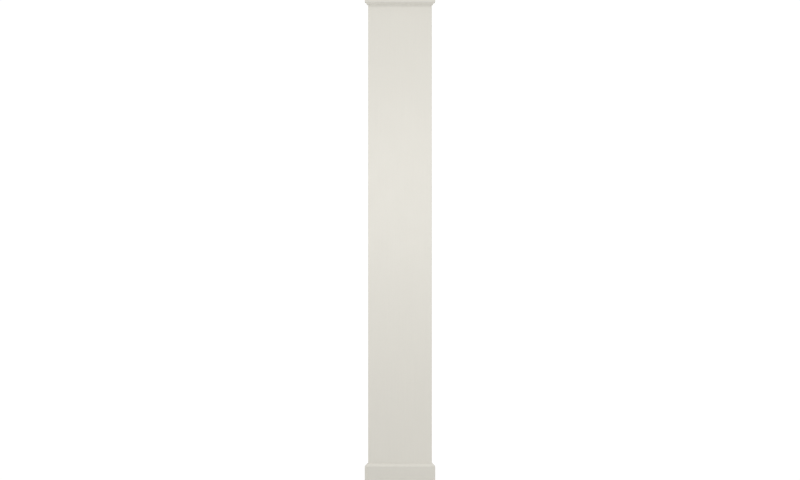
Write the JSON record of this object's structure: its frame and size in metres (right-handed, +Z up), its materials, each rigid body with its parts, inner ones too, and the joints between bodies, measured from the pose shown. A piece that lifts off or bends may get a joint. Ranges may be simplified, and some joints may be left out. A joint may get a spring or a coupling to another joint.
{
  "type": "column wrap",
  "caption": "Hollow square column wrap of flat boards with a plain tall shaft, a bevelled base moulding and a bevelled cap moulding, fixed round a structural post.",
  "frame": {"origin": "middle of the underside, on the floor that the wrap stands on", "axes": "+Z up the shaft; -Y towards the viewer of the picture, out of the front; +X to the viewer's right"},
  "size_m": [0.3372, 0.3372, 2.4384],
  "materials": {
    "shaft_board": "satin",
    "moulding_board": "satin"
  },
  "bodies": {
    "root": {"shaft_panel_front": "shaft_board", "shaft_panel_right": "shaft_board", "shaft_panel_back": "shaft_board", "shaft_panel_left": "shaft_board", "base_moulding_front": "moulding_board", "base_moulding_right": "moulding_board", "base_moulding_back": "moulding_board", "base_moulding_left": "moulding_board", "cap_moulding_front": "moulding_board", "cap_moulding_right": "moulding_board", "cap_moulding_back": "moulding_board", "cap_moulding_left": "moulding_board"}
  },
  "joints": []
}
